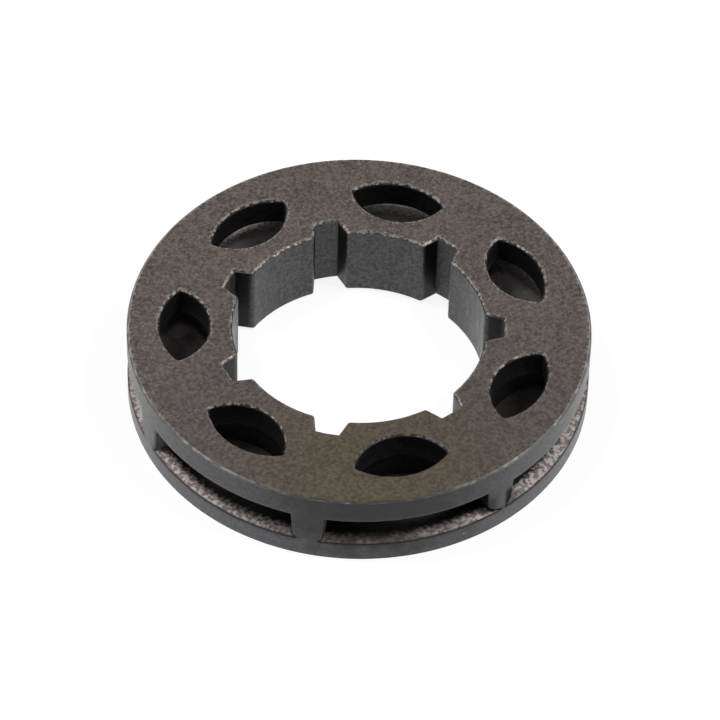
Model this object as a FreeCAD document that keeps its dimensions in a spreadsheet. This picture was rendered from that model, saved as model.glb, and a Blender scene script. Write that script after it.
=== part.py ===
"""Chainsaw rim sprocket: two flanges, a ring of teeth between them and a splined bore, as one solid.

The bottom face lies on Z = 0 and the axis is Z. One chain pocket and its window are centred on +X.
"""
import FreeCAD, Part
import math
import os
import Sketcher

NODE = "rim_sprocket"
NEAR = 1e-4

# Driving dimensions, in millimetres and degrees, with the count of teeth and one share of a width
SIZES = [
    ("rim_diameter", "37.6"),
    ("overall_width", "6.9"),
    ("lower_flange", "1.85"),
    ("groove_width", "2.6"),
    ("tooth_count", "7"),
    ("tooth_width", "2.45"),
    ("tooth_draft", "4"),
    ("hub_wall", "1.55"),
    ("window_ledge", "0.3"),
    ("window_rim_wall", "2.65"),
    ("window_tip_share", "0.61"),
    ("window_half_span", "3.78"),
    ("window_tip_round", "0.3"),
    ("bore_diameter", "20.5"),
    ("spline_depth", "1.45"),
    ("spline_root_width", "1.9"),
    ("spline_flank_angle", "16.5"),
    ("spline_mouth_round", "0.3"),
    ("edge_break", "0.2"),
    ("groove_edge_round", "0.2"),
]

# Sizes that follow from the sheet, as expressions for the sketches and cuts
HALF_PITCH = "180 / Sizes.tooth_count"
RIM = "Sizes.rim_diameter / 2"
BORE = "Sizes.bore_diameter / 2"
SPLINE_ROOT = BORE + " + Sizes.spline_depth"
SPLINE_INSIDE = BORE + " - Sizes.spline_depth"
POCKET_REACH = BORE + " + Sizes.hub_wall"
POCKET_OUTSIDE = RIM + " + Sizes.tooth_width"
POCKET_CENTRE = "(%s - Sizes.tooth_width / 2) / (1 - sin(%s))" % (POCKET_REACH, HALF_PITCH)
WINDOW_INNER = POCKET_REACH + " + Sizes.window_ledge"
WINDOW_OUTER = RIM + " - Sizes.window_rim_wall"
WINDOW_WIDTH = "(%s) - (%s)" % (WINDOW_OUTER, WINDOW_INNER)
WINDOW_TIP = "%s + Sizes.window_tip_share * (%s)" % (WINDOW_INNER, WINDOW_WIDTH)
GROOVE_TOP = "Sizes.lower_flange + Sizes.groove_width"
UPPER_FLANGE = "Sizes.overall_width - Sizes.lower_flange - Sizes.groove_width"

# Straight length of a tooth's flank under the groove top, which limits the round of the groove's edges
TOOTH_TOP_HALF = "Sizes.tooth_width / 2 + Sizes.groove_width * tan(Sizes.tooth_draft)"
FLANK_END = "sqrt((%s) ^ 2 - (%s) ^ 2)" % (RIM, TOOTH_TOP_HALF)
FLANK_LENGTH = "%s - %s * cos(%s)" % (FLANK_END, POCKET_CENTRE, HALF_PITCH)
GROOVE_ROUND = ("(%s) > 0 ? min(Sizes.groove_edge_round; (%s) / 2) : Sizes.groove_edge_round"
                % (FLANK_LENGTH, FLANK_LENGTH))

# Numbers that a sketch uses for the ends and centre of a curve, and for its own X axis and origin
START, END, CENTRE = range(1, 4)
ORIGIN = (-1, START)
X_AXIS = ORIGIN[0]

doc = FreeCAD.newDocument("RimSprocket")


def make_sheet():
    """Put each driving dimension in its own named cell."""
    cells = doc.addObject("Spreadsheet::Sheet", "Sizes")
    for row, (alias, value) in enumerate(SIZES, start=1):
        cells.set("A%d" % row, alias)
        cells.set("B%d" % row, value)
        cells.setAlias("B%d" % row, alias)
    doc.recompute()
    return cells


sheet = make_sheet()
body = doc.addObject("PartDesign::Body", "Rim")
body.Label = NODE


def value_of(expression):
    """The number that an expression of the sheet's cells comes to."""
    return float(sheet.evalExpression(expression.replace("Sizes.", "")))


def origin_feature(role):
    """The body's own origin plane or axis with this role."""
    return next(item for item in body.Origin.OriginFeatures if item.Role == role)


def new_sketch(name, height=None, turn=None):
    """A sketch on the body's XY plane, raised to a height or turned about the axis where given."""
    sketch = body.newObject("Sketcher::SketchObject", name)
    sketch.AttachmentSupport = [(origin_feature("XY_Plane"), "")]
    sketch.MapMode = "FlatFace"
    if height:
        sketch.setExpression("AttachmentOffset.Base.z", height)
    if turn:
        sketch.setExpression("AttachmentOffset.Rotation.Angle", turn)
    return sketch


def point(x, y):
    """A point of a sketch."""
    return FreeCAD.Vector(x, y, 0)


def add_circle(sketch, name, expression):
    """A circle about the axis."""
    radius = value_of(expression)
    circle = sketch.addGeometry(Part.Circle(point(0, 0), FreeCAD.Vector(0, 0, 1), radius))
    tie(sketch, "Coincident", circle, CENTRE, *ORIGIN)
    bind(sketch, name, expression, "Radius", circle, radius)


def add_arc(sketch, first, middle, last):
    """An arc through three points, listed anticlockwise."""
    return sketch.addGeometry(Part.Arc(point(*first), point(*middle), point(*last)))


def add_line(sketch, first, last):
    """A straight line between two points."""
    return sketch.addGeometry(Part.LineSegment(point(*first), point(*last)))


def tie(sketch, *constraint):
    """Add a geometric constraint to a sketch."""
    return sketch.addConstraint(Sketcher.Constraint(*constraint))


def bind(sketch, name, expression, *constraint):
    """Add a named dimension to a sketch and tie it to the sheet."""
    sketch.renameConstraint(tie(sketch, *constraint), name)
    sketch.setExpression("Constraints." + name, expression)


def cross_axis(sketch, arc, name, expression):
    """Centre an arc on the X axis and set where it crosses that axis."""
    reach = value_of(expression)
    mark = sketch.addGeometry(Part.Point(point(reach, 0)), True)
    tie(sketch, "PointOnObject", arc, CENTRE, X_AXIS)
    tie(sketch, "PointOnObject", mark, START, X_AXIS)
    tie(sketch, "PointOnObject", mark, START, arc)
    bind(sketch, name, expression, "DistanceX", *ORIGIN, mark, START, reach)


def cut(sketch, name, length=None, upward=False, draft=None):
    """A pocket of a given length, or right through, that has to take material away."""
    before = body.Tip.Shape.Volume
    pocket = body.newObject("PartDesign::Pocket", name)
    pocket.Profile = sketch
    pocket.Reversed = upward
    if length:
        pocket.Type = "Length"
        pocket.setExpression("Length", length)
    else:
        pocket.Type = "ThroughAll"
        pocket.Midplane = True
    if draft:
        pocket.setExpression("TaperAngle", draft)
    body.Tip = pocket
    doc.recompute()
    if pocket.Shape.Volume > before - NEAR:
        raise RuntimeError(name + " takes nothing away")
    return pocket


def repeat(feature, name):
    """Repeat a cut once for every tooth about the axis."""
    pattern = body.newObject("PartDesign::PolarPattern", name)
    pattern.Originals = [feature]
    pattern.Axis = (origin_feature("Z_Axis"), [""])
    pattern.Angle = 360
    pattern.setExpression("Occurrences", "Sizes.tooth_count")
    body.Tip = pattern
    doc.recompute()


def make_blank():
    """The plain disc."""
    sketch = new_sketch("BlankSketch")
    add_circle(sketch, "rim_radius", RIM)
    pad = body.newObject("PartDesign::Pad", "Blank")
    pad.Profile = sketch
    pad.setExpression("Length", "Sizes.overall_width")
    body.Tip = pad
    doc.recompute()


def cut_bore():
    """The bore at the spline lands."""
    sketch = new_sketch("BoreSketch")
    add_circle(sketch, "bore_radius", BORE)
    cut(sketch, "Bore")


def cut_splines():
    """Spline slots in line with the teeth, with flanks that open towards the axis."""
    sketch = new_sketch("SplineSketch", turn=HALF_PITCH)
    root = value_of(SPLINE_ROOT)
    half_root = value_of("Sizes.spline_root_width") / 2
    inside = value_of(SPLINE_INSIDE)
    lean = math.radians(value_of("Sizes.spline_flank_angle"))
    root_x = math.sqrt(root ** 2 - half_root ** 2)
    half_mouth = half_root + (root_x - inside) * math.tan(lean)
    arc = add_arc(sketch, (root_x, -half_root), (root, 0), (root_x, half_root))
    flank = add_line(sketch, (root_x, half_root), (inside, half_mouth))
    mouth = add_line(sketch, (inside, half_mouth), (inside, -half_mouth))
    other_flank = add_line(sketch, (inside, -half_mouth), (root_x, -half_root))
    tie(sketch, "Coincident", arc, END, flank, START)
    tie(sketch, "Coincident", flank, END, mouth, START)
    tie(sketch, "Coincident", mouth, END, other_flank, START)
    tie(sketch, "Coincident", other_flank, END, arc, START)
    tie(sketch, "Coincident", arc, CENTRE, *ORIGIN)
    tie(sketch, "Vertical", arc, START, arc, END)
    tie(sketch, "Symmetric", mouth, START, mouth, END, X_AXIS)
    bind(sketch, "root_radius", SPLINE_ROOT, "Radius", arc, root)
    bind(sketch, "root_width", "Sizes.spline_root_width",
         "DistanceY", arc, START, arc, END, 2 * half_root)
    bind(sketch, "flank_angle", "180 - Sizes.spline_flank_angle", "Angle", flank, math.pi - lean)
    bind(sketch, "inside", SPLINE_INSIDE, "DistanceX", *ORIGIN, mouth, START, inside)
    repeat(cut(sketch, "SplineSlot"), "Splines")


def cut_pockets():
    """Chain pockets between the teeth, each a round hollow that runs out along the two tooth flanks."""
    sketch = new_sketch("PocketSketch", height="Sizes.lower_flange")
    half_pitch = math.radians(value_of(HALF_PITCH))
    half_tooth = value_of("Sizes.tooth_width") / 2
    reach = value_of(POCKET_REACH)
    outside = value_of(POCKET_OUTSIDE)
    centre = value_of(POCKET_CENTRE)
    radius = centre - reach
    tangent_x = centre - radius * math.sin(half_pitch)
    tangent_y = radius * math.cos(half_pitch)
    outside_y = tangent_y + (outside - tangent_x) * math.tan(half_pitch)
    arc = add_arc(sketch, (tangent_x, tangent_y), (reach, 0), (tangent_x, -tangent_y))
    flank = add_line(sketch, (tangent_x, tangent_y), (outside, outside_y))
    other_flank = add_line(sketch, (tangent_x, -tangent_y), (outside, -outside_y))
    mouth = add_line(sketch, (outside, outside_y), (outside, -outside_y))
    tie(sketch, "Tangent", arc, START, flank, START)
    tie(sketch, "Tangent", arc, END, other_flank, START)
    tie(sketch, "Coincident", flank, END, mouth, START)
    tie(sketch, "Coincident", other_flank, END, mouth, END)
    tie(sketch, "Symmetric", mouth, START, mouth, END, X_AXIS)
    cross_axis(sketch, arc, "reach", POCKET_REACH)
    bind(sketch, "half_pitch", HALF_PITCH, "Angle", flank, half_pitch)
    bind(sketch, "half_tooth", "Sizes.tooth_width / 2", "Distance", *ORIGIN, flank, half_tooth)
    bind(sketch, "outside", POCKET_OUTSIDE, "DistanceX", *ORIGIN, mouth, START, outside)
    pocket = cut(sketch, "ChainPocket", "Sizes.groove_width", upward=True, draft="-Sizes.tooth_draft")
    repeat(pocket, "ChainPockets")


def cut_windows():
    """Almond windows through the upper flange, one over each chain pocket."""
    sketch = new_sketch("WindowSketch", height="Sizes.overall_width")
    inner = value_of(WINDOW_INNER)
    outer = value_of(WINDOW_OUTER)
    tip_x = value_of(WINDOW_TIP)
    tip_y = value_of("Sizes.window_half_span")
    inner_arc = add_arc(sketch, (tip_x, tip_y), (inner, 0), (tip_x, -tip_y))
    outer_arc = add_arc(sketch, (tip_x, -tip_y), (outer, 0), (tip_x, tip_y))
    tie(sketch, "Coincident", inner_arc, END, outer_arc, START)
    tie(sketch, "Coincident", outer_arc, END, inner_arc, START)
    cross_axis(sketch, inner_arc, "inner", WINDOW_INNER)
    cross_axis(sketch, outer_arc, "outer", WINDOW_OUTER)
    bind(sketch, "tip_reach", WINDOW_TIP, "DistanceX", *ORIGIN, inner_arc, START, tip_x)
    bind(sketch, "tip_span", "Sizes.window_half_span", "DistanceY", *ORIGIN, inner_arc, START, tip_y)
    repeat(cut(sketch, "Window", UPPER_FLANGE), "Windows")


def points_of(edge):
    """The two ends and the middle of an edge."""
    middle = (edge.FirstParameter + edge.LastParameter) / 2
    return [edge.valueAt(parameter) for parameter in (edge.FirstParameter, middle, edge.LastParameter)]


def lies_at(edge, low, high, radius=None):
    """Whether an edge keeps between two heights and, where one is given, at one distance from the axis."""
    points = points_of(edge)
    if any(not low - NEAR < spot.z < high + NEAR for spot in points):
        return False
    return radius is None or all(abs(math.hypot(spot.x, spot.y) - radius) < NEAR for spot in points)


def is_upright(edge):
    """Whether an edge runs parallel to the axis."""
    first, _, last = points_of(edge)
    return math.hypot(first.x - last.x, first.y - last.y) < NEAR


def dress(kind, name, wanted, size_property, expression):
    """Round or chamfer the edges of the present solid that pass a test."""
    base = body.Tip
    edges = ["Edge%d" % number for number, edge in enumerate(base.Shape.Edges, start=1) if wanted(edge)]
    feature = body.newObject("PartDesign::" + kind, name)
    feature.Base = (base, edges)
    feature.setExpression(size_property, expression)
    body.Tip = feature
    doc.recompute()


def dress_edges():
    """Round the spline mouths, window tips, teeth and groove top, and break the edges of the faces.

    The groove floor and the bottom face run out to the rim with a sharp edge.
    """
    bore = value_of(BORE)
    rim = value_of(RIM)
    top = value_of("Sizes.overall_width")
    floor = value_of("Sizes.lower_flange")
    ceiling = value_of(GROOVE_TOP)
    tip = math.hypot(value_of(WINDOW_TIP), value_of("Sizes.window_half_span"))
    dress("Fillet", "SplineMouths", lambda edge: is_upright(edge) and lies_at(edge, 0, top, bore),
          "Radius", "Sizes.spline_mouth_round")
    dress("Fillet", "WindowTips", lambda edge: is_upright(edge) and lies_at(edge, 0, top, tip),
          "Radius", "Sizes.window_tip_round")
    dress("Fillet", "GrooveEdges",
          lambda edge: lies_at(edge, floor, ceiling, rim) and not lies_at(edge, floor, floor),
          "Radius", GROOVE_ROUND)
    dress("Chamfer", "TopEdges", lambda edge: lies_at(edge, top, top), "Size", "Sizes.edge_break")
    dress("Chamfer", "BottomEdges", lambda edge: lies_at(edge, 0, 0) and not lies_at(edge, 0, 0, rim),
          "Size", "Sizes.edge_break")


def write_solid():
    """Check the document and the finished solid, then write its file."""
    for item in doc.Objects:
        if "Invalid" in item.State or "Error" in item.State:
            raise RuntimeError("%s is %s" % (item.Name, item.State))
    shape = body.Shape
    if shape.isNull() or not shape.isValid() or len(shape.Solids) != 1:
        raise RuntimeError(NODE + " is not one valid solid")
    os.makedirs("parts", exist_ok=True)
    shape.exportStep("parts/%s.step" % body.Label)
    print("%s: %.1f mm3" % (NODE, shape.Volume))


make_blank()
cut_bore()
cut_splines()
cut_pockets()
cut_windows()
dress_edges()
write_solid()
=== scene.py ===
"""Looks of the chainsaw rim sprocket: a finely divided skin of sintered steel, lit in a white studio.

Shapes are worked out in millimetres in the frame of the solid, and the skin is scaled to metres at the end.
"""
import math

import bmesh
import bpy
import numpy as np
from mathutils import Matrix, Vector, kdtree, noise
from mathutils.geometry import delaunay_2d_cdt


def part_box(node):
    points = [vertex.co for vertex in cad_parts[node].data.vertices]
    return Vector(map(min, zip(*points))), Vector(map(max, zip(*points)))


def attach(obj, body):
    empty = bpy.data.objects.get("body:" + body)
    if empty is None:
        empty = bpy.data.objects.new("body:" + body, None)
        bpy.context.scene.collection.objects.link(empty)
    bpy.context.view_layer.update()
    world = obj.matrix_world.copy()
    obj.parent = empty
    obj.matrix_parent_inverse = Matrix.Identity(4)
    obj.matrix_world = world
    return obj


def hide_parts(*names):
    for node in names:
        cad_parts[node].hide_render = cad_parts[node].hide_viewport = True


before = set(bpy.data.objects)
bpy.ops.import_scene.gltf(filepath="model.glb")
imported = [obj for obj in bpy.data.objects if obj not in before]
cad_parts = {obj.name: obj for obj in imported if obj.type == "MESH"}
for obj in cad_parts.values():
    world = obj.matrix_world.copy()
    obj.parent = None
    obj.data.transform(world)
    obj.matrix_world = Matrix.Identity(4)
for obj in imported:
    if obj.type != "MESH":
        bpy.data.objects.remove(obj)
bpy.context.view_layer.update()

NODE = "rim_sprocket"
SKIN_NAME = NODE + "_skin"
MM = 0.001

# Sizes of the solid, in millimetres and radians
low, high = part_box(NODE)
RIM = min(high.x - low.x, high.y - low.y) / 2 / MM
WIDTH = high.z / MM
LOWER_FLANGE = 1.85
GROOVE_WIDTH = 2.6
TEETH = 7
TOOTH_WIDTH = 2.45
TOOTH_DRAFT = math.radians(4)
HUB_WALL = 1.55
WINDOW_LEDGE = 0.3
WINDOW_RIM_WALL = 2.65
WINDOW_TIP_SHARE = 0.61
WINDOW_HALF_SPAN = 3.78
WINDOW_TIP_ROUND = 0.3
BORE_DIAMETER = 20.5
SPLINE_DEPTH = 1.45
SPLINE_ROOT_WIDTH = 1.9
FLANK_LEAN = math.radians(16.5)
SLOT_MOUTH_ROUND = 0.3
EDGE_BREAK = 0.2
LIP_ROUND = 0.2

# Heights, radii and half widths that follow from the sizes
FLOOR = LOWER_FLANGE
CEILING = FLOOR + GROOVE_WIDTH
HALF_PITCH = math.pi / TEETH
HALF_TOOTH = TOOTH_WIDTH / 2
DRAFT = math.tan(TOOTH_DRAFT)
BORE = BORE_DIAMETER / 2
SPLINE_ROOT = BORE + SPLINE_DEPTH
HALF_ROOT = SPLINE_ROOT_WIDTH / 2
POCKET_REACH = BORE + HUB_WALL
POCKET_CENTRE = (POCKET_REACH - HALF_TOOTH) / (1 - math.sin(HALF_PITCH))
WINDOW_INNER = POCKET_REACH + WINDOW_LEDGE
WINDOW_OUTER = RIM - WINDOW_RIM_WALL
WINDOW_TIP = (WINDOW_INNER + WINDOW_TIP_SHARE * (WINDOW_OUTER - WINDOW_INNER), WINDOW_HALF_SPAN)
LIP_END = RIM - LIP_ROUND

# How finely the skin is divided, in millimetres and in steps
FINE = 0.2
MIDDLING = 0.26
COARSE = 0.36
FEWEST_STEPS = 2
EDGE_STEPS = 4
SLOT_MOUTH_STEPS = 3
WINDOW_TIP_STEPS = 5
WALL_LEVELS = 1 + round((CEILING - FLOOR) / MIDDLING)

# Flat surfaces have their points on a grid of equal triangles. The points are shaken, and keep clear of
# edges, by shares of the grid's spacing.
ROW_RISE = math.sqrt(0.75)
GRID_SHAKE = 0.18
EDGE_CLEARANCE = 0.62

# Points less far apart than this are one point, and seams are welded over a wider gap, in millimetres
SAME_POINT = 1e-7
WELD = 1e-4

# The kinds of surface, in the order of the skin's materials
KIND_COUNT = 8
FACE, RIM_WALL, BORE_WALL, INSIDE, GROOVE_FLOOR, RIM_EDGE, BORE_EDGE, WINDOW_EDGE = range(KIND_COUNT)
EDGES = (RIM_EDGE, BORE_EDGE, WINDOW_EDGE)


def steps(length, spacing=FINE):
    """How many steps of about a spacing fit in a length."""
    return max(FEWEST_STEPS, round(length / spacing))


def polar(radius, angles):
    """Points at a radius from the axis."""
    return np.column_stack([radius * np.cos(angles), radius * np.sin(angles)])


def arc(centre_x, centre_y, radius, start, end, count):
    """Points along an arc, both ends included."""
    return polar(radius, np.linspace(start, end, count + 1)) + (centre_x, centre_y)


def straight(first, last, count):
    """Points along a straight line, both ends included."""
    return np.linspace(first, last, count + 1)


def chain(*runs):
    """Join runs of points end to end, without the points that repeat."""
    points = np.concatenate(runs)
    apart = np.linalg.norm(np.diff(points, axis=0), axis=1) > SAME_POINT
    return points[np.concatenate([[True], apart])]


def closed(points):
    """A closed outline, without its last point where that repeats the first."""
    return points[:-1] if np.allclose(points[0], points[-1], atol=SAME_POINT) else points


def mirrored(points):
    """The same points on the other side of the X axis, in the opposite order."""
    return points[::-1] * (1, -1)


def turned(points, angle):
    """Points turned about the axis."""
    cosine, sine = math.cos(angle), math.sin(angle)
    out = np.array(points, float)
    out[:, 0] = points[:, 0] * cosine - points[:, 1] * sine
    out[:, 1] = points[:, 0] * sine + points[:, 1] * cosine
    return out


def at_height(points, height):
    """Flat points raised to a height, or each to its own."""
    return np.column_stack([points, np.broadcast_to(height, len(points))])


# Angles of the pockets, and of the points on every full circle, which fall on the middle of each tooth
PITCHES = [2 * HALF_PITCH * number for number in range(TEETH)]
RING_STEPS = TEETH * steps(2 * HALF_PITCH * RIM)
RING = -HALF_PITCH + np.arange(RING_STEPS) * 2 * math.pi / RING_STEPS


def bore_outline(inset=0.0):
    """The splined bore, moved into the metal by an inset."""
    normal = np.array([math.sin(FLANK_LEAN), math.cos(FLANK_LEAN)])
    along = np.array([-math.cos(FLANK_LEAN), math.sin(FLANK_LEAN)])
    flank = normal @ (math.sqrt(SPLINE_ROOT ** 2 - HALF_ROOT ** 2), HALF_ROOT)

    def beyond_flank(distance, radius):
        """The point at a radius that lies a distance beyond the slot's flank."""
        reach = flank + distance
        return reach * normal - math.sqrt(radius ** 2 - reach ** 2) * along

    root = beyond_flank(inset, SPLINE_ROOT + inset)
    centre = beyond_flank(SLOT_MOUTH_ROUND, BORE + SLOT_MOUTH_ROUND)
    mouth = math.atan2(centre[1], centre[0])
    foot = centre - (SLOT_MOUTH_ROUND - inset) * normal
    half = chain(
        polar(SPLINE_ROOT + inset, np.linspace(0, math.atan2(root[1], root[0]), 1 + steps(HALF_ROOT))),
        straight(root, foot, steps(SPLINE_ROOT - BORE)),
        arc(*centre, SLOT_MOUTH_ROUND - inset, -math.pi / 2 - FLANK_LEAN, mouth - math.pi, SLOT_MOUTH_STEPS),
        polar(BORE + inset, np.linspace(mouth, HALF_PITCH, 1 + steps(BORE * (HALF_PITCH - mouth)))))
    slot = chain(mirrored(half), half)[:-1]
    return np.concatenate([turned(slot, HALF_PITCH + pitch) for pitch in PITCHES])


def centre_on_axis(crossing, point):
    """Where the X axis holds the centre of the arc through a crossing of that axis and another point."""
    return (point[0] ** 2 + point[1] ** 2 - crossing ** 2) / (2 * (point[0] - crossing))


def window_outline(outset=0.0):
    """The almond window on +X, grown by an outset."""
    inner = centre_on_axis(WINDOW_INNER, WINDOW_TIP)
    outer = centre_on_axis(WINDOW_OUTER, WINDOW_TIP)
    inner_radius = inner - WINDOW_INNER
    outer_radius = WINDOW_OUTER - outer
    spread = (outer_radius - WINDOW_TIP_ROUND) ** 2 - (inner_radius - WINDOW_TIP_ROUND) ** 2
    tip_x = (spread / (inner - outer) + inner + outer) / 2
    tip_y = math.sqrt((outer_radius - WINDOW_TIP_ROUND) ** 2 - (tip_x - outer) ** 2)
    leave = math.atan2(tip_y, tip_x - outer)
    enter = math.atan2(tip_y, tip_x - inner)
    half = chain(
        arc(outer, 0, outer_radius + outset, 0, leave, steps(outer_radius * leave)),
        arc(tip_x, tip_y, WINDOW_TIP_ROUND + outset, leave, enter, WINDOW_TIP_STEPS),
        arc(inner, 0, inner_radius + outset, enter, math.pi, steps(inner_radius * (math.pi - enter))))
    return closed(chain(half, mirrored(half)))


def pocket_outline(height):
    """The wall of the pocket on +X at a height, from the end of one flank round to the other's."""
    narrowing = (height - FLOOR) * DRAFT
    half_tooth = HALF_TOOTH + narrowing
    radius = POCKET_CENTRE - POCKET_REACH - narrowing
    along = np.array([math.cos(HALF_PITCH), math.sin(HALF_PITCH)])
    across = np.array([math.sin(HALF_PITCH), -math.cos(HALF_PITCH)])
    end = math.sqrt(LIP_END ** 2 - half_tooth ** 2) * along + half_tooth * across
    tangent = POCKET_CENTRE * math.cos(HALF_PITCH) * along + half_tooth * across
    start = math.pi / 2 + HALF_PITCH
    half = chain(
        straight(end, tangent, steps(LIP_END - POCKET_CENTRE * math.cos(HALF_PITCH), MIDDLING)),
        arc(POCKET_CENTRE, 0, radius, start, math.pi,
            steps((POCKET_CENTRE - POCKET_REACH) * (math.pi - start), MIDDLING)))
    return chain(half, mirrored(half))


def lip_row(turn):
    """One row of the rounded mouth of the pocket on +X, up one flank, along the top and down the other.

    The row's points are angles and heights, and it has one radius. The turn goes from 0 on the rim to a
    right angle inside the pocket.
    """
    radius = RIM - LIP_ROUND * (1 - math.cos(turn))
    outset = LIP_ROUND * (1 - math.sin(turn))
    levels = np.linspace(0, CEILING - FLOOR, WALL_LEVELS)
    half_tooth = HALF_TOOTH + levels * DRAFT - outset
    angles = HALF_PITCH - np.arcsin(half_tooth / radius)
    heights = np.linspace(FLOOR, CEILING + outset, WALL_LEVELS)
    side = np.column_stack([angles, heights])
    top = straight(side[-1], side[-1] * (-1, 1), steps(2 * RIM * (HALF_PITCH - HALF_TOOTH / RIM)))
    return chain(side, top, side[::-1] * (-1, 1)), radius


def mouth_reach():
    """Half the angle that the mouth of a pocket spans on the rim, at the floor."""
    row, _ = lip_row(0)
    return row[0, 0]


class Skin:
    """Points and faces of the skin, gathered one surface after another."""

    def __init__(self):
        self.points = []
        self.faces = []
        self.kinds = []
        self.count = 0

    def add(self, kind, points, faces):
        """Take in a surface of one kind."""
        self.points.append(points)
        self.faces.extend([self.count + corner for corner in face] for face in faces)
        self.kinds.extend([kind] * len(faces))
        self.count += len(points)

    def strip(self, kind, rows, loop=False):
        """A strip of quads over rows that have the same number of points."""
        width = len(rows[0])
        last = width if loop else width - 1
        faces = []
        for row in range(len(rows) - 1):
            for column in range(last):
                beside = (column + 1) % width
                faces.append((row * width + column, row * width + beside,
                              (row + 1) * width + beside, (row + 1) * width + column))
        self.add(kind, np.concatenate(rows), faces)


def inside(points, outline):
    """Which points lie inside a closed outline."""
    result = np.zeros(len(points), bool)
    for (x0, y0), (x1, y1) in zip(outline, np.roll(outline, -1, axis=0)):
        if y0 == y1:
            continue
        crosses = (points[:, 1] < y0) != (points[:, 1] < y1)
        result ^= crosses & (points[:, 0] < x0 + (points[:, 1] - y0) * (x1 - x0) / (y1 - y0))
    return result


def within(points, outline, holes):
    """Which points lie inside an outline and outside its holes."""
    result = inside(points, outline)
    for hole in holes:
        result &= ~inside(points, hole)
    return result


def scattered(outline, holes, spacing, seed):
    """Points on a shaken triangular grid, inside an outline and clear of its edges."""
    start = outline.min(axis=0)
    columns, rows = (np.ptp(outline, axis=0) / (spacing, spacing * ROW_RISE)).astype(int) + 2
    column, row = np.meshgrid(np.arange(columns), np.arange(rows))
    grid = np.column_stack([(column + row % 2 / 2).ravel(), (row * ROW_RISE).ravel()])
    shake = np.random.default_rng(seed).uniform(-GRID_SHAKE, GRID_SHAKE, grid.shape)
    points = start + (grid + shake) * spacing
    points = points[within(points, outline, holes)]
    edge_points = np.concatenate([outline, *holes])
    tree = kdtree.KDTree(len(edge_points))
    for number, (x, y) in enumerate(edge_points):
        tree.insert((x, y, 0), number)
    tree.balance()
    clear = [tree.find((x, y, 0))[2] > EDGE_CLEARANCE * spacing for x, y in points]
    return points[clear]


def fill(outline, holes, spacing, seed):
    """A flat region's points and the triangles between them."""
    loops = [outline, *holes]
    border = np.concatenate(loops)
    edges = []
    for loop in loops:
        first = len(edges)
        edges.extend((first + number, first + (number + 1) % len(loop)) for number in range(len(loop)))
    points = np.concatenate([border, scattered(outline, holes, spacing, seed)])
    flat, _, faces, *_ = delaunay_2d_cdt([tuple(point) for point in points], edges, [], 0, SAME_POINT)
    flat = np.array(flat)
    faces = np.array(faces)
    kept = within(flat[faces].mean(axis=1), outline, holes)
    return flat, faces[kept].tolist()


def add_faces(skin):
    """The top face with its windows and the bottom face, both open at the bore."""
    windows = [turned(window_outline(EDGE_BREAK), pitch) for pitch in PITCHES]
    bore = bore_outline(EDGE_BREAK)
    flat, faces = fill(polar(RIM - EDGE_BREAK, RING), [bore, *windows], FINE, seed=1)
    skin.add(FACE, at_height(flat, WIDTH), faces)
    flat, faces = fill(polar(RIM, RING), [bore], COARSE, seed=2)
    skin.add(FACE, at_height(flat, 0), faces)


def broken_edge(skin, kind, outline, height, upward):
    """The narrow sloping strip that breaks the edge of a face; outline gives its line at an inset."""
    rows = []
    for share in np.linspace(0, 1, EDGE_STEPS + 1):
        drop = EDGE_BREAK * (1 - share)
        rows.append(at_height(outline(EDGE_BREAK * share), height - drop if upward else height + drop))
    skin.strip(kind, rows, loop=True)


def wall_rows(outline, bottom, top):
    """Rows of one outline from a lower to an upper height."""
    heights = np.linspace(bottom, top, 1 + steps(top - bottom, MIDDLING))
    return [at_height(outline, height) for height in heights]


def add_bore(skin):
    """The splined wall, with broken edges at both ends."""
    skin.strip(BORE_WALL, wall_rows(bore_outline(), EDGE_BREAK, WIDTH - EDGE_BREAK), loop=True)
    broken_edge(skin, BORE_EDGE, bore_outline, WIDTH, upward=True)
    broken_edge(skin, BORE_EDGE, bore_outline, 0, upward=False)


def add_windows(skin):
    """The walls of the windows, with broken upper edges."""
    for pitch in PITCHES:
        rows = wall_rows(turned(window_outline(), pitch), CEILING, WIDTH - EDGE_BREAK)
        skin.strip(INSIDE, rows, loop=True)
        broken_edge(skin, WINDOW_EDGE, lambda outset: turned(window_outline(outset), pitch), WIDTH,
                    upward=True)


def add_pockets(skin):
    """The chain pockets: floor, ceiling, wall and rounded mouth."""
    lips = [lip_row(turn) for turn in np.linspace(0, math.pi / 2, EDGE_STEPS + 1)]
    reach = mouth_reach()
    front = polar(RIM, np.linspace(-reach, reach, 1 + steps(2 * reach * RIM)))
    foot = np.concatenate([polar(radius, row[:1, 0]) for row, radius in lips])
    floor_outline = closed(chain(front, foot, pocket_outline(FLOOR), mirrored(foot)))
    floor_points, floor_faces = fill(floor_outline, [], FINE, seed=3)
    inner_row, inner_radius = lips[-1]
    along_top = inner_row[:, 1] > CEILING - SAME_POINT
    edge = polar(inner_radius, inner_row[along_top, 0])[::-1]
    ceiling_outline = closed(chain(edge, pocket_outline(CEILING)))
    ceiling_points, ceiling_faces = fill(ceiling_outline, [window_outline()], COARSE, seed=4)
    wall = [at_height(pocket_outline(height), height) for height in np.linspace(FLOOR, CEILING, WALL_LEVELS)]
    mouth = [np.column_stack([polar(radius, row[:, 0]), row[:, 1]]) for row, radius in lips]
    for pitch in PITCHES:
        skin.add(GROOVE_FLOOR, turned(at_height(floor_points, FLOOR), pitch), floor_faces)
        skin.add(INSIDE, turned(at_height(ceiling_points, CEILING), pitch), ceiling_faces)
        skin.strip(INSIDE, [turned(row, pitch) for row in wall])
        skin.strip(RIM_WALL, [turned(row, pitch) for row in mouth])


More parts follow.
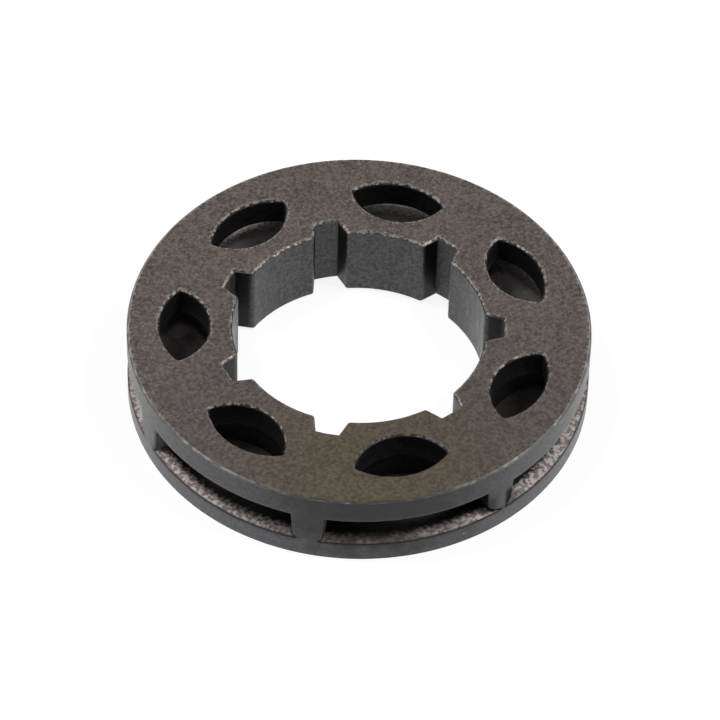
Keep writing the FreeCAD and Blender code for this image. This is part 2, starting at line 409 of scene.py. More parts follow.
def add_rim(skin):
    """The outer wall, below and round the mouths of the pockets, and its broken upper edge."""
    mouth, _ = lip_row(0)
    reach = mouth_reach()
    foot = steps((HALF_PITCH - reach) * RIM)
    left = straight((-HALF_PITCH, FLOOR), (-reach, FLOOR), foot)
    right = straight((reach, FLOOR), (HALF_PITCH, FLOOR), foot)
    front = straight((-reach, FLOOR), (reach, FLOOR), steps(2 * reach * RIM))
    across = steps(2 * HALF_PITCH * RIM)
    top = WIDTH - EDGE_BREAK
    lower = [straight((-HALF_PITCH, 0), (HALF_PITCH, 0), across),
             straight((HALF_PITCH, 0), (HALF_PITCH, FLOOR), steps(FLOOR, MIDDLING)),
             right[::-1], front[::-1], left[::-1],
             straight((-HALF_PITCH, FLOOR), (-HALF_PITCH, 0), steps(FLOOR, MIDDLING))]
    upper = [left, mouth[::-1], right,
             straight((HALF_PITCH, FLOOR), (HALF_PITCH, top), steps(top - FLOOR, MIDDLING)),
             straight((HALF_PITCH, top), (-HALF_PITCH, top), across),
             straight((-HALF_PITCH, top), (-HALF_PITCH, FLOOR), steps(top - FLOOR, MIDDLING))]
    for seed, sides in ((5, lower), (6, upper)):
        flat, faces = fill(closed(chain(*sides)) * (RIM, 1), [], MIDDLING, seed)
        sheet = np.column_stack([polar(RIM, flat[:, 0] / RIM), flat[:, 1]])
        for pitch in PITCHES:
            skin.add(RIM_WALL, turned(sheet, pitch), faces)
    broken_edge(skin, RIM_EDGE, lambda inset: polar(RIM - inset, RING), WIDTH, upward=True)


# One tooth is rounded off over a height towards its foot. Its left and right sides, seen from outside, are
# given at its top and at its foot, as distances along the rim from the tooth's true middle.
LOW_TOOTH_NUMBER = 5
LOW_TOOTH_ANGLE = HALF_PITCH + PITCHES[LOW_TOOTH_NUMBER]
LOW_TOOTH_TOP = (-1.6, 0.55)
LOW_TOOTH_FOOT = (-0.5, -0.04)
LOW_TOOTH_ROUND = 1.4

# Where the change to the low tooth begins and where it is full: along the rim, up to the floor, down to the
# ceiling and out from the inner wall of the pockets
NEAR_TOOTH = (4.5, 1.4)
UP_TO_FLOOR = (FLOOR - 1.3, FLOOR)
DOWN_TO_CEILING = (CEILING + 1.8, CEILING + 0.3)
OUT_TO_TOOTH = (RIM - 4.8, RIM - 1.8)

# The right part of the low tooth also stands back from the rim, with the same kinds of range
STAND_BACK = 0.1
BACK_TO_RIGHT = (0.05, 0.75)
BACK_TO_RIM = (RIM - 1.8, RIM - 0.3)
BACK_FROM_FLOOR = (FLOOR, FLOOR + 0.3)
BACK_FROM_CEILING = (CEILING, CEILING - 1.2)


def smooth(value, start, end):
    """A smooth way from 0 at start to 1 at end."""
    share = np.clip((value - start) / (end - start), 0, 1)
    return share * share * (3 - 2 * share)


def across_low_tooth(points):
    """How far points lie from the low tooth's true middle, along the rim."""
    turn = np.arctan2(points[:, 1], points[:, 0]) - LOW_TOOTH_ANGLE
    turn = (turn + math.pi) % (2 * math.pi) - math.pi
    return turn * np.hypot(points[:, 0], points[:, 1])


def low_tooth_slide(across, height):
    """How far points on the low tooth go along the rim, so that its sides round off towards the foot."""
    rise = np.clip((height - FLOOR) / LOW_TOOTH_ROUND, 0, 1)
    share = 1 - (1 - rise) ** 3
    left, right = (foot + share * (top - foot) for foot, top in zip(LOW_TOOTH_FOOT, LOW_TOOTH_TOP))
    true_half = HALF_TOOTH - LIP_ROUND + DRAFT * np.clip(height - FLOOR, 0, CEILING - FLOOR)
    return (left + right) / 2 + ((right - left) / 2 / true_half - 1) * across


def rounded_off(points):
    """The skin's points, with the low tooth narrowed towards its foot and set back on its right."""
    radius = np.hypot(points[:, 0], points[:, 1])
    height = points[:, 2]
    across = across_low_tooth(points)
    near = smooth(np.abs(across), *NEAR_TOOTH)
    level = smooth(height, *UP_TO_FLOOR) * smooth(height, *DOWN_TO_CEILING)
    slide = near * level * smooth(radius, *OUT_TO_TOOTH) * low_tooth_slide(across, height)
    back = near * smooth(across + slide, *BACK_TO_RIGHT) * smooth(radius, *BACK_TO_RIM)
    back *= smooth(height, *BACK_FROM_FLOOR) * smooth(height, *BACK_FROM_CEILING)
    angle = np.arctan2(points[:, 1], points[:, 0]) + slide / radius
    return at_height(polar(1, angle) * (radius - STAND_BACK * back)[:, None], height)


def make_skin():
    """The whole skin as one closed mesh, in metres, with a material number on each face."""
    skin = Skin()
    add_faces(skin)
    add_bore(skin)
    add_windows(skin)
    add_pockets(skin)
    add_rim(skin)
    mesh = bpy.data.meshes.new(SKIN_NAME)
    mesh.from_pydata(rounded_off(np.concatenate(skin.points)) * MM, [], skin.faces)
    mesh.polygons.foreach_set("material_index", skin.kinds)
    work = bmesh.new()
    work.from_mesh(mesh)
    bmesh.ops.remove_doubles(work, verts=work.verts, dist=WELD * MM)
    bmesh.ops.triangulate(work, faces=[face for face in work.faces if len(face.verts) > 3])
    bmesh.ops.recalc_face_normals(work, faces=work.faces)
    gaps = sum(len(edge.link_faces) != 2 for edge in work.edges)
    if gaps:
        raise RuntimeError("the skin has %d open edges" % gaps)
    work.to_mesh(mesh)
    work.free()
    return mesh


SHARP_ANGLE = math.radians(32)

# How far the metal stands back from its true shape, in millimetres: all over, by lumps and by grain
FACE_RELIEF = (0.020, 0.006, 0.012)
WALL_RELIEF = (0.008, 0.002, 0.004)
INSIDE_RELIEF = (0.01, 0.012, 0.010)
FLOOR_RELIEF = (0.03, 0.03, 0.06)
EDGE_RELIEF = (0.02, 0.015, 0.03)
RELIEF = {FACE: FACE_RELIEF, RIM_WALL: WALL_RELIEF, BORE_WALL: WALL_RELIEF, INSIDE: INSIDE_RELIEF,
          GROOVE_FLOOR: FLOOR_RELIEF, RIM_EDGE: EDGE_RELIEF, BORE_EDGE: EDGE_RELIEF, WINDOW_EDGE: EDGE_RELIEF}
LUMP_SIZE = 0.9
LUMP_SEED = 1
GRAIN_SIZE = 0.34
GRAIN_SEED = 11
NOISE_SHIFT = (17.3, 31.7, 5.9)

# Over what distance the worn edges with their painted highlight, the painted shade at the mouths, the soot at
# the seam and the smooth corners of the floors fade, in millimetres
EDGE_REACH = 0.17
MOUTH_SHADE_REACH = 0.06
SEAM_SOOT_REACH = 0.18
CORNER_REACH = 0.2
SEAM_SOOT = 0.9

# Two strips of painted shade on the low tooth, on its right edge and fainter on its left: how dark they are,
# and where each begins and is full from both its sides
RIGHT_STRIP = 0.95
RIGHT_STRIP_FROM_LEFT = (-0.25, 0.05)
RIGHT_STRIP_FROM_RIGHT = (1.6, 1.1)
LEFT_STRIP = 0.5
LEFT_STRIP_FROM_LEFT = (-2.2, -1.8)
LEFT_STRIP_FROM_RIGHT = (-0.5, -1.3)
STRIPS_FROM_FLOOR = (FLOOR, FLOOR + 0.1)
STRIPS_FROM_CEILING = (CEILING - 0.1, CEILING - 1.2)


def surface_noise(points, size, seed):
    """Smooth noise from about -1 to 1 at points in millimetres, with lumps of about a size."""
    shift = Vector([seed * step for step in NOISE_SHIFT])
    return np.array([noise.noise(Vector(point) / size + shift) for point in points])


def relief(points, kind):
    """How far the metal of a kind of surface stands back from its true shape, in millimetres."""
    all_over, by_lumps, by_grain = RELIEF[kind]
    lumps = surface_noise(points, LUMP_SIZE, LUMP_SEED + kind)
    grain = surface_noise(points, GRAIN_SIZE, GRAIN_SEED + kind)
    if kind in EDGES:
        grain = np.maximum(grain, 0)
    return all_over + by_lumps * lumps + by_grain * grain


def mean_relief(points, by_kind):
    """How far each point of the skin stands back, as the mean of the kinds of surface that share it."""
    depth = np.zeros(len(points))
    shared = np.zeros(len(points))
    for kind, here in enumerate(by_kind):
        depth[here] += relief(points[here], kind)
        shared[here] += 1
    return depth / shared


def nearness(points, marks, reach):
    """How near each point is to the nearest of some marked points: 1 there, and less with distance."""
    tree = kdtree.KDTree(len(marks))
    for number, mark in enumerate(marks):
        tree.insert(mark, number)
    tree.balance()
    return np.exp(-np.array([tree.find(point)[2] for point in points]) / reach)


def floor_corners():
    """The points at which the floors of the pockets run out beside the teeth."""
    reach = mouth_reach()
    angles = np.concatenate([(pitch - reach, pitch + reach) for pitch in PITCHES])
    return rounded_off(at_height(polar(RIM, angles), FLOOR))


def strip_painted_shade(points):
    """How dark points are made by the painted shade of the two strips on the low tooth."""
    across = across_low_tooth(points)
    height = points[:, 2]
    right = RIGHT_STRIP * smooth(across, *RIGHT_STRIP_FROM_LEFT) * smooth(across, *RIGHT_STRIP_FROM_RIGHT)
    left = LEFT_STRIP * smooth(across, *LEFT_STRIP_FROM_RIGHT) * smooth(across, *LEFT_STRIP_FROM_LEFT)
    level = smooth(height, *STRIPS_FROM_FLOOR) * smooth(height, *STRIPS_FROM_CEILING)
    return np.maximum(right, left) * level


def read(items, name, size=1, kind=float):
    """A number, or a vector of a size, from each of a mesh's items."""
    values = np.empty(len(items) * size, kind)
    items.foreach_get(name, values)
    return values.reshape(-1, size) if size > 1 else values


def points_by_kind(mesh):
    """The numbers of the points on each kind of surface of a mesh of triangles."""
    corners = read(mesh.loops, "vertex_index", kind=int)
    kinds = np.repeat(read(mesh.polygons, "material_index", kind=int), 3)
    return [np.unique(corners[kinds == kind]) for kind in range(KIND_COUNT)]


def weather(mesh):
    """Give the skin the uneven surface of pressed powder and chipped edges.

    Three attributes go with it: how near an edge is, how far up a broken edge from the wall to the face, and
    how dark the rim's wall is, by soot at the seam, by painted shade at the mouths and on the low tooth, and
    at the floors' corners.
    """
    mesh.set_sharp_from_angle(angle=SHARP_ANGLE)
    points = read(mesh.vertices, "co", size=3) / MM
    normals = read(mesh.vertex_normals, "vector", size=3)
    by_kind = points_by_kind(mesh)
    in_corner = nearness(points, floor_corners(), CORNER_REACH)
    depth = mean_relief(points, by_kind) * (1 - in_corner)
    wall = by_kind[RIM_WALL]
    depth[wall] = np.maximum(depth[wall], 0)
    edges = np.unique(np.concatenate([by_kind[kind] for kind in EDGES]))
    above_wall = (np.abs(points[:, 2] - WIDTH / 2) - WIDTH / 2) / EDGE_BREAK + 1
    # Painted shade: the rim wall darkens where it turns into the dark insides of the pockets
    in_mouth = nearness(points, points[by_kind[INSIDE]], MOUTH_SHADE_REACH)
    at_seam = SEAM_SOOT * nearness(points, points[by_kind[GROOVE_FLOOR]], SEAM_SOOT_REACH)
    # soot_and_shade holds soot at the seam over the floor, the darker corners of the floors and the painted
    # shade of the mouths and strips
    notes = {
        "edge_nearness": nearness(points, points[edges], EDGE_REACH),
        "edge_rise": np.clip(above_wall, 0, 1),
        "soot_and_shade": np.maximum.reduce([in_mouth, at_seam, in_corner, strip_painted_shade(points)])}
    for name, values in notes.items():
        mesh.attributes.new(name, "FLOAT", "POINT").data.foreach_set("value", values)
    mesh.vertices.foreach_set("co", ((points - normals * depth[:, None]) * MM).ravel())
    mesh.update()


def spot(radius, azimuth, height):
    """A point on the part, in millimetres, at an azimuth in degrees."""
    angle = math.radians(azimuth)
    return Vector((radius * math.cos(angle), radius * math.sin(angle), height))


# The middle of a heat stain on the rim and of the painted shade over the front of the part, of a scuff on the
# lower wall, of the side where the flanks in the pockets get painted light near the rim, and of a brown patch
# on the floor beside the low tooth
STAIN_AND_SHADE_SPOT = spot(radius=16.5, azimuth=-111, height=WIDTH)
SCUFF_SPOT = spot(radius=RIM, azimuth=-89, height=0.93)
LIT_SIDE_SPOT = spot(radius=RIM, azimuth=-177, height=FLOOR)
BROWN_SPOT = spot(radius=RIM - 0.5, azimuth=-74.8, height=FLOOR)

# The borders of the stain and of the painted shade over the front wander by a distance, in patches of a size
BORDER_WANDER = 1.2
BORDER_PATCH = 1.4

# Painted shade on the floor, under the upper flange, thins out between these radii, which vary with its lumps
DEEP_SHADE_END = 17.4
UNSHADED_START = 18.1
SHADE_WANDER = 0.15

# Where most values of a noise texture lie
NOISE_RANGE = (0.3, 0.7)


class Nodes:
    """Short calls to build a tree of shader nodes."""

    def __init__(self, tree):
        self.tree = tree

    def add(self, kind, inputs, **settings):
        """A node with its settings, and with each input set to a value or linked to a socket."""
        made = self.tree.nodes.new(kind)
        for name, value in settings.items():
            setattr(made, name, value)
        for name, value in inputs.items():
            if isinstance(value, bpy.types.NodeSocket):
                self.tree.links.new(value, made.inputs[name])
            else:
                made.inputs[name].default_value = value
        return made

    def math(self, operation, first, second):
        """The result of an operation on two values or sockets."""
        return self.add("ShaderNodeMath", {0: first, 1: second}, operation=operation).outputs[0]

    def seen_directly(self):
        """1 for rays from the camera, off something glossy or through glass, else 0."""
        rays = self.add("ShaderNodeLightPath", {}).outputs
        seen = self.math("MAXIMUM", rays["Is Camera Ray"], rays["Is Glossy Ray"])
        return self.math("MAXIMUM", seen, rays["Is Transmission Ray"])


class Finish(Nodes):
    """Short calls to build one material.

    Sizes and places are given in millimetres, and the sockets for lengths hold metres.
    """

    def __init__(self, name):
        self.material = bpy.data.materials.new(name)
        self.material.use_nodes = True
        super().__init__(self.material.node_tree)
        self.tree.nodes.clear()
        self.place = self.add("ShaderNodeTexCoord", {}).outputs["Object"]

    def scaled(self, factors):
        """The place on the part, multiplied by a factor along each axis."""
        if factors == (1, 1, 1):
            return self.place
        return self.add("ShaderNodeMapping", {"Vector": self.place, "Scale": factors}).outputs["Vector"]

    def grain(self, size, detail, squeeze=(1, 1, 1)):
        """Noise from 0 to 1 with lumps of a size, made smaller by a factor along each axis."""
        inputs = {"Vector": self.scaled(squeeze), "Scale": 1 / (size * MM), "Detail": detail}
        return self.add("ShaderNodeTexNoise", inputs).outputs["Fac"]

    def ramp(self, value, start, end, low=0.0, high=1.0):
        """A smooth way from low, where a value is start, to high, where it is end."""
        inputs = {"Value": value, "From Min": start, "From Max": end, "To Min": low, "To Max": high}
        return self.add("ShaderNodeMapRange", inputs, interpolation_type="SMOOTHSTEP").outputs["Result"]

    def length_ramp(self, length, start, end, low=0.0, high=1.0):
        """A ramp over a length."""
        return self.ramp(length, start * MM, end * MM, low, high)

    def spread(self, pattern, low=0.0, high=1.0):
        """A noise pattern, spread from low to high."""
        return self.ramp(pattern, *NOISE_RANGE, low, high)

    def blend(self, share, first, second):
        """One colour turning into another."""
        made = self.add("ShaderNodeMix", {"Factor": share, "A": first, "B": second}, data_type="RGBA")
        return made.outputs["Result"]

    def mottle(self, pattern, dark, light):
        """Two colours in the patches of a noise pattern."""
        return self.blend(self.spread(pattern), dark, light)

    def bump(self, height, depth, strength):
        """A normal from a height pattern of a depth."""
        made = self.add("ShaderNodeBump", {"Height": height, "Distance": depth * MM, "Strength": strength})
        return made.outputs["Normal"]

    def attribute(self, name):
        """A number kept with the skin's points."""
        return self.add("ShaderNodeAttribute", {}, attribute_name=name).outputs["Fac"]

    def distance(self, point, factors=(1, 1, 1)):
        """The distance from a point, with each axis counted by a factor."""
        goal = point * Vector(factors) * MM
        made = self.add("ShaderNodeVectorMath", {0: self.scaled(factors), 1: goal}, operation="DISTANCE")
        return made.outputs["Value"]

    def height(self):
        """The height over the bottom face."""
        return self.add("ShaderNodeSeparateXYZ", {"Vector": self.place}).outputs["Z"]

    def radius(self):
        """The distance from the bore's axis."""
        flat = self.add("ShaderNodeVectorMath", {0: self.place, 1: (1, 1, 0)}, operation="MULTIPLY")
        made = self.add("ShaderNodeVectorMath", {0: flat.outputs["Vector"]}, operation="LENGTH")
        return made.outputs["Value"]

    def stain_and_shade(self, start, end, strength):
        """How strongly the heat stain, and the painted shade over the front of the part, show round their
        spot, from nothing at a distance to a strength at a nearer one.
        """
        patches = self.grain(BORDER_PATCH, detail=3)
        uneven = self.spread(patches, -BORDER_WANDER * MM, BORDER_WANDER * MM)
        away = self.math("ADD", self.distance(STAIN_AND_SHADE_SPOT), uneven)
        return self.length_ramp(away, start, end, high=strength)

    def metal(self, colour, roughness, metallic, normal, gloss=0.5):
        """Close the material with a metal shader."""
        shader = self.add("ShaderNodeBsdfPrincipled", {
            "Base Color": colour, "Roughness": roughness, "Metallic": metallic, "Normal": normal,
            "Specular IOR Level": gloss})
        self.add("ShaderNodeOutputMaterial", {"Surface": shader.outputs[0]})
        return self.material


def sintered_face():
    """Brown-grey pressed powder with a mottled grain, a straw-coloured heat stain, painted shade over the
    front, and bright worn edges partly painted as highlight.
    """
    bright_speck = (0.27, 0.243, 0.228, 1)
    brown_cloud = (0.100, 0.079, 0.070, 1)
    dark_cloud = (0.036, 0.030, 0.025, 1)
    chip_and_highlight = (0.25, 0.228, 0.208, 1)
    straw = (0.085, 0.066, 0.034, 1)
    made = Finish("sintered_face")
    grain = made.grain(size=0.26, detail=3)
    speck = made.grain(size=0.17, detail=1)
    blotch = made.grain(size=0.8, detail=2)
    cloud = made.grain(size=1.5, detail=2)
    plain = made.mottle(grain, dark=(0.045, 0.038, 0.035, 1), light=(0.122, 0.104, 0.098, 1))
    plain = made.blend(made.ramp(speck, start=0.6, end=0.75, high=0.5), plain, bright_speck)
    plain = made.blend(made.ramp(cloud, start=0.4, end=0.7, high=0.35), plain, brown_cloud)
    # Chips worn bare near the edges, partly a painted highlight
    wear_and_highlight = made.math("ADD", made.attribute("edge_nearness"), made.spread(grain, low=-0.4, high=0.4))
    plain = made.blend(made.ramp(wear_and_highlight, start=0.65, end=1.1, high=0.7), plain, chip_and_highlight)
    # Painted shade: the colour is darker and duller over the front of the part
    duller = made.mottle(grain, dark=(0.044, 0.038, 0.035, 1), light=(0.098, 0.085, 0.081, 1))
    plain = made.blend(made.stain_and_shade(start=25, end=12, strength=0.85), plain, duller)
    stained = made.mottle(grain, dark=(0.042, 0.035, 0.025, 1), light=(0.094, 0.078, 0.052, 1))
    stained = made.blend(made.ramp(blotch, start=0.4, end=0.7, high=0.4), stained, straw)
    colour = made.blend(made.stain_and_shade(start=16, end=4, strength=0.9), plain, stained)
    colour = made.blend(made.ramp(cloud, start=0.6, end=0.3, high=0.2), colour, dark_cloud)
    rough = made.ramp(speck, start=0.35, end=0.65, low=0.6, high=0.45)
    return made.metal(colour, rough, metallic=0.75, normal=made.bump(grain, depth=0.05, strength=0.6))


def ground_rim():
    """The smooth blue-grey outer wall: lighter below the groove, scuffed, with painted shade over the front,
    at the mouths and on the low tooth, soot at the seam, and darker at the floors' corners.
    """
    front_shade = (0.031, 0.029, 0.028, 1)
    brown = (0.062, 0.058, 0.050, 1)
    pale_fleck = (0.24, 0.24, 0.225, 1)
    black = (0.014, 0.012, 0.012, 1)
    made = Finish("ground_rim")
    fine = made.grain(size=0.25, detail=3)
    lines = made.grain(size=0.5, detail=3, squeeze=(1, 1, 6))
    upper = made.mottle(fine, dark=(0.061, 0.060, 0.064, 1), light=(0.092, 0.091, 0.097, 1))
    lower = made.mottle(fine, dark=(0.084, 0.083, 0.091, 1), light=(0.122, 0.120, 0.131, 1))
    above_floor = made.length_ramp(made.height(), start=FLOOR - 0.1, end=FLOOR + 0.1)
    colour = made.blend(above_floor, lower, upper)
    # Painted shade: the wall is darker over the front of the part
    colour = made.blend(made.stain_and_shade(start=12, end=4, strength=0.87), colour, front_shade)
    browned = made.length_ramp(made.distance(SCUFF_SPOT), start=1.7, end=0.4, high=0.55)
    colour = made.blend(browned, colour, brown)
    scuffed = made.length_ramp(made.distance(SCUFF_SPOT, factors=(1, 1, 3)), start=0.5, end=0.2)
    marks = made.grain(size=0.12, detail=1, squeeze=(1, 1, 0.3))
    flecks = made.ramp(marks, start=0.45, end=0.62, high=0.8)
    colour = made.blend(made.math("MULTIPLY", scuffed, flecks), colour, pale_fleck)
    # Soot at the seam and painted shade at the mouths and on the low tooth darken the wall, roughen it and
    # dull its shine
    soot_and_shade = made.attribute("soot_and_shade")
    colour = made.blend(soot_and_shade, colour, black)
    duller = made.ramp(soot_and_shade, start=0, end=1, low=0, high=0.5)
    rough = made.math("ADD", made.spread(lines, low=0.28, high=0.42), duller)
    shine = made.ramp(soot_and_shade, start=0, end=1, low=0.8, high=0)
    gloss = made.ramp(soot_and_shade, start=0, end=1, low=0.5, high=0.1)
    return made.metal(colour, rough, shine, made.bump(lines, depth=0.012, strength=0.5), gloss)


def drawn_bore():
    """The mottled splined wall, with painted shade that makes the flanks of its slots black."""
    black = (0.012, 0.011, 0.011, 1)
    made = Finish("drawn_bore")
    mottle = made.grain(size=0.28, detail=4)
    lines = made.grain(size=0.3, detail=3, squeeze=(1, 1, 0.12))
    colour = made.mottle(mottle, dark=(0.044, 0.042, 0.043, 1), light=(0.094, 0.091, 0.094, 1))
    radius = made.radius()
    off_land = made.length_ramp(radius, start=BORE + 0.1, end=BORE + 0.5)
    off_root = made.length_ramp(radius, start=SPLINE_ROOT - 0.15, end=SPLINE_ROOT - 0.03, low=1, high=0.2)
    # Painted shade: black flanks between the lands and the roots of the slots
    colour = made.blend(made.math("MULTIPLY", off_land, off_root), colour, black)
    rough = made.spread(lines, low=0.33, high=0.42)
    faint_lines = made.math("MULTIPLY", lines, 0.15)
    height = made.math("ADD", faint_lines, mottle)
    return made.metal(colour, rough, metallic=0.8, normal=made.bump(height, depth=0.04, strength=0.5))


def painted_shade_inside():
    """The walls of windows and pockets, near black with painted shade, with painted light near the rim on one
    side.
    """
    paler = (0.2, 0.178, 0.167, 1)
    made = Finish("painted_shade_inside")
    fine = made.grain(size=0.25, detail=3)
    # Painted shade: the insides are near black
    colour = made.mottle(fine, dark=(0.008, 0.007, 0.007, 1), light=(0.020, 0.018, 0.018, 1))
    near_rim = made.length_ramp(made.radius(), start=RIM - 1.7, end=RIM - 0.6)
    one_side = made.length_ramp(made.distance(LIT_SIDE_SPOT), start=24, end=14)
    # Painted light: lighter near the rim on one side of the part
    colour = made.blend(made.math("MULTIPLY", near_rim, one_side), colour, paler)
    rough = made.spread(fine, low=0.75, high=0.95)
    normal = made.bump(fine, depth=0.03, strength=0.5)
    return made.metal(colour, rough, metallic=0, normal=normal, gloss=0.08)


def brazed_floor():
    """The rough floor of the groove: faintly coppery near the rim, with painted shade further in, under the
    upper flange, and over the back and the front of the part.
    """
    front_shade = (0.068, 0.06, 0.057, 1)
    brown = (0.125, 0.102, 0.09, 1)
    dark_border = (0.04, 0.034, 0.031, 1)
    light_inner_shade = (0.078, 0.071, 0.068, 1)
    deep_inner_shade = (0.022, 0.020, 0.019, 1)
    made = Finish("brazed_floor")
    lump = made.grain(size=0.32, detail=3)
    fine = made.grain(size=0.12, detail=2)
    radius = made.radius()
    crest = made.ramp(lump, start=0.4, end=0.6)
    bright = made.blend(crest, (0.32, 0.28, 0.265, 1), (0.84, 0.76, 0.735, 1))
    shaded_back = made.blend(crest, (0.31, 0.271, 0.256, 1), (0.45, 0.391, 0.368, 1))
    # Painted shade: the floor's outer band is darker and plainer over the back of the part
    bright = made.blend(made.stain_and_shade(start=30, end=24, strength=1), shaded_back, bright)
    # Painted shade over the front of the part
    bright = made.blend(made.stain_and_shade(start=12, end=4.2, strength=0.9), bright, front_shade)
    browned = made.length_ramp(made.distance(BROWN_SPOT), start=1.4, end=0.4, high=0.8)
    bright = made.blend(browned, bright, brown)
    at_border = made.length_ramp(radius, start=RIM - 0.2, end=RIM - 0.02, high=0.7)
    bright = made.blend(at_border, bright, dark_border)
    # Painted shade further in under the upper flange, deepest towards the front
    ragged = made.math("ADD", radius, made.spread(lump, -SHADE_WANDER * MM, SHADE_WANDER * MM))
    unshaded = made.length_ramp(ragged, DEEP_SHADE_END, UNSHADED_START)
    inner_shade = made.blend(made.stain_and_shade(start=27, end=23.5, strength=1), light_inner_shade, deep_inner_shade)
    colour = made.blend(unshaded, inner_shade, bright)
    rough = made.spread(fine, low=0.5, high=0.75)
    low_grain = made.math("MULTIPLY", fine, 0.4)
    height = made.math("ADD", lump, low_grain)
    normal = made.bump(height, depth=0.1, strength=0.7)
    return made.metal(colour, rough, metallic=0, normal=normal, gloss=0.2)


def chipped_edge(name, size, below, dull, bright):
    """The upper half of a broken edge worn to bare metal, its bright flecks partly a painted highlight, over
    the colour of the wall below it.

    Its flecks have a size in millimetres, a dull and a bright colour.
    """
    front_shade = (0.045, 0.041, 0.035, 1)
    made = Finish(name)
    fleck = made.grain(size, detail=2)
    # Worn metal in flecks, which also stands for a painted highlight
    paler = made.blend(made.ramp(fleck, start=0.4, end=0.66), dull, bright)
    ragged = made.math("ADD", made.attribute("edge_rise"), made.spread(fleck, low=-0.25, high=0.25))
    colour = made.blend(made.ramp(ragged, start=0.32, end=0.62), below, paler)
    # Painted shade over the front of the part
    colour = made.blend(made.stain_and_shade(start=13, end=3, strength=0.6), colour, front_shade)
    rough = made.ramp(fleck, start=0.4, end=0.65, low=0.5, high=0.4)
    normal = made.bump(fleck, depth=0.03, strength=0.5)
    return made.metal(colour, rough, metallic=0.6, normal=normal, gloss=0.4)


def rim_edge():
    """The upper edge of the rim, worn in long streaks."""
    return chipped_edge("rim_edge", size=0.7, below=(0.12, 0.117, 0.12, 1),
                        dull=(0.17, 0.157, 0.147, 1), bright=(0.31, 0.29, 0.275, 1))


def bore_edge():
    """The edges of the bore, chipped grain by grain."""
    return chipped_edge("bore_edge", size=0.3, below=(0.045, 0.044, 0.045, 1),
                        dull=(0.13, 0.118, 0.109, 1), bright=(0.42, 0.39, 0.365, 1))


def window_edge():
    """The edges of the windows, as dark as the painted shade of the insides on their lower half."""
    return chipped_edge("window_edge", size=0.36, below=(0.012, 0.011, 0.011, 1),
                        dull=(0.11, 0.10, 0.092, 1), bright=(0.34, 0.315, 0.295, 1))


def dress():
    """Build the skin, weather it and let it stand for the solid."""
    mesh = make_skin()
    weather(mesh)
    for finish in (sintered_face, ground_rim, drawn_bore, painted_shade_inside, brazed_floor,
                   rim_edge, bore_edge, window_edge):
        mesh.materials.append(finish())
    piece = bpy.data.objects.new(SKIN_NAME, mesh)
    bpy.context.collection.objects.link(piece)
    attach(piece, "root")
    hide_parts(NODE)


# The photograph's camera in millimetres and radians, from a fit to rim, windows and bore, with its aim and
# lens set by the outline. It stands at a turn about the part's axis.
PHOTO_TURN = math.radians(27.17)
CAMERA_HEIGHT = math.radians(48.18)
CAMERA_ROLL = math.radians(1.486)
CAMERA_DISTANCE = 439.0
CAMERA_AIM = Vector((0.131, 2.425, 0.0))
CAMERA_LENS = 267.5
SENSOR = 36.0
NEAREST_SEEN = CAMERA_DISTANCE / 10


def add_camera():
    """A long lens from the photograph's side and height."""
    back = Vector((0, -math.cos(CAMERA_HEIGHT), math.sin(CAMERA_HEIGHT)))
    turn = Matrix.Rotation(-PHOTO_TURN, 4, "Z")
    data = bpy.data.cameras.new("photo_camera")
    data.lens = CAMERA_LENS
    data.sensor_width = SENSOR
    data.clip_start = NEAREST_SEEN * MM
    camera = bpy.data.objects.new("photo_camera", data)
    bpy.context.collection.objects.link(camera)
    tilt = Matrix.Rotation(math.pi / 2 - CAMERA_HEIGHT, 4, "X")
    roll = Matrix.Rotation(CAMERA_ROLL, 4, "Z")
    place = Matrix.Translation((CAMERA_AIM + CAMERA_DISTANCE * back) * MM)
    camera.matrix_world = turn @ place @ tilt @ roll
    bpy.context.scene.camera = camera


# The studio, in metres
FLOOR_SIZE = 4.0
FLOOR_DROP = 0.00002
FLOOR_COLOUR = (0.8, 0.8, 0.8, 1)
FLOOR_GLOW = 1.15
SHADOW_SHARE = 0.25
PANEL_DISTANCE = 0.7
PANEL_WIDTH = 1.6
PANEL_HEIGHT = 1.3
PANEL_COLOUR = (0.03, 0.03, 0.03, 1)
ROOM_LIGHT = 0.12
LAMP_DISTANCE = 0.6
LAMP_SIZE = 0.15
WHITE = (1, 1, 1, 1)


def add_plate(name, corners, material):
    """A flat plate with four corners."""
    mesh = bpy.data.meshes.new(name)
    mesh.from_pydata(corners, [], [(0, 1, 2, 3)])
    mesh.materials.append(material)
    plate = bpy.data.objects.new(name, mesh)
    bpy.context.collection.objects.link(plate)
    return plate


def add_floor():
    """A floor that shows as white and keeps a soft shadow."""
    made = Finish("white_floor")
    matt = made.add("ShaderNodeBsdfDiffuse", {"Color": FLOOR_COLOUR}).outputs[0]
    white = made.add("ShaderNodeEmission", {"Color": WHITE, "Strength": FLOOR_GLOW}).outputs[0]
    share = made.math("MULTIPLY", made.seen_directly(), 1 - SHADOW_SHARE)
    mixed = made.add("ShaderNodeMixShader", {0: share, 1: matt, 2: white}).outputs[0]
    made.add("ShaderNodeOutputMaterial", {"Surface": mixed})
    half = FLOOR_SIZE / 2
    corners = [(-half, -half, 0), (half, -half, 0), (half, half, 0), (-half, half, 0)]
    floor = add_plate("floor", corners, made.material)
    floor.location.z = -FLOOR_DROP


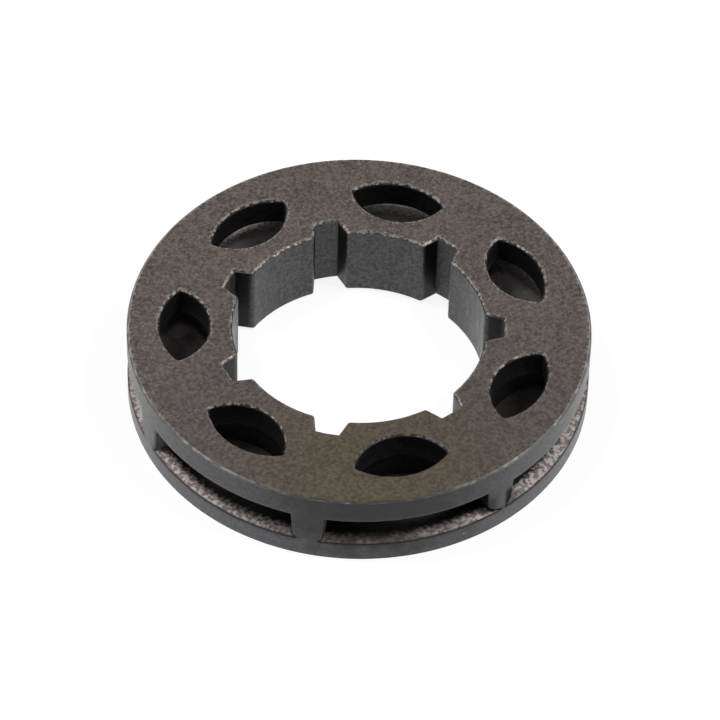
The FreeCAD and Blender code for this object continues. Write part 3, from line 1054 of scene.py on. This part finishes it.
def add_panel():
    """A dark panel behind the photograph's camera, which keeps light from the front out of the groove."""
    made = Finish("dark_panel")
    matt = made.add("ShaderNodeBsdfDiffuse", {"Color": PANEL_COLOUR}).outputs[0]
    made.add("ShaderNodeOutputMaterial", {"Surface": matt})
    half = PANEL_WIDTH / 2
    corners = [(-half, 0, 0), (half, 0, 0), (half, 0, PANEL_HEIGHT), (-half, 0, PANEL_HEIGHT)]
    panel = add_plate("dark_panel", corners, made.material)
    panel.matrix_world = Matrix.Rotation(-PHOTO_TURN, 4, "Z") @ Matrix.Translation((0, -PANEL_DISTANCE, 0))
    panel.visible_camera = False


def add_world():
    """Even white light from all round, which shows as white."""
    world = bpy.data.worlds.new("studio")
    bpy.context.scene.world = world
    world.use_nodes = True
    nodes = Nodes(world.node_tree)
    background = world.node_tree.nodes["Background"]
    background.inputs["Color"].default_value = WHITE
    strength = nodes.math("MAXIMUM", nodes.seen_directly(), ROOM_LIGHT)
    world.node_tree.links.new(strength, background.inputs["Strength"])


def add_lamp(name, azimuth, height, power):
    """A square soft light that looks at the object.

    Its azimuth and height are in degrees, and the azimuth counts from the photograph's camera.
    """
    data = bpy.data.lights.new(name, "AREA")
    data.size = LAMP_SIZE
    data.energy = power
    lamp = bpy.data.objects.new(name, data)
    bpy.context.collection.objects.link(lamp)
    angle = math.radians(azimuth) - PHOTO_TURN - math.pi / 2
    rise = math.radians(height)
    outward = Vector((math.cos(angle) * math.cos(rise), math.sin(angle) * math.cos(rise), math.sin(rise)))
    lamp.location = outward * LAMP_DISTANCE
    lamp.rotation_euler = outward.to_track_quat("Z", "Y").to_euler()


def add_studio():
    """Floor, dark panel, room light and lamps."""
    add_floor()
    add_panel()
    add_world()
    add_lamp("left_lamp", azimuth=-103, height=66, power=1.5)
    add_lamp("right_lamp", azimuth=83, height=58, power=1.5)
    add_lamp("front_lamp", azimuth=0, height=70, power=0.5)


dress()
add_camera()
add_studio()
bpy.context.scene.view_settings.view_transform = "Standard"
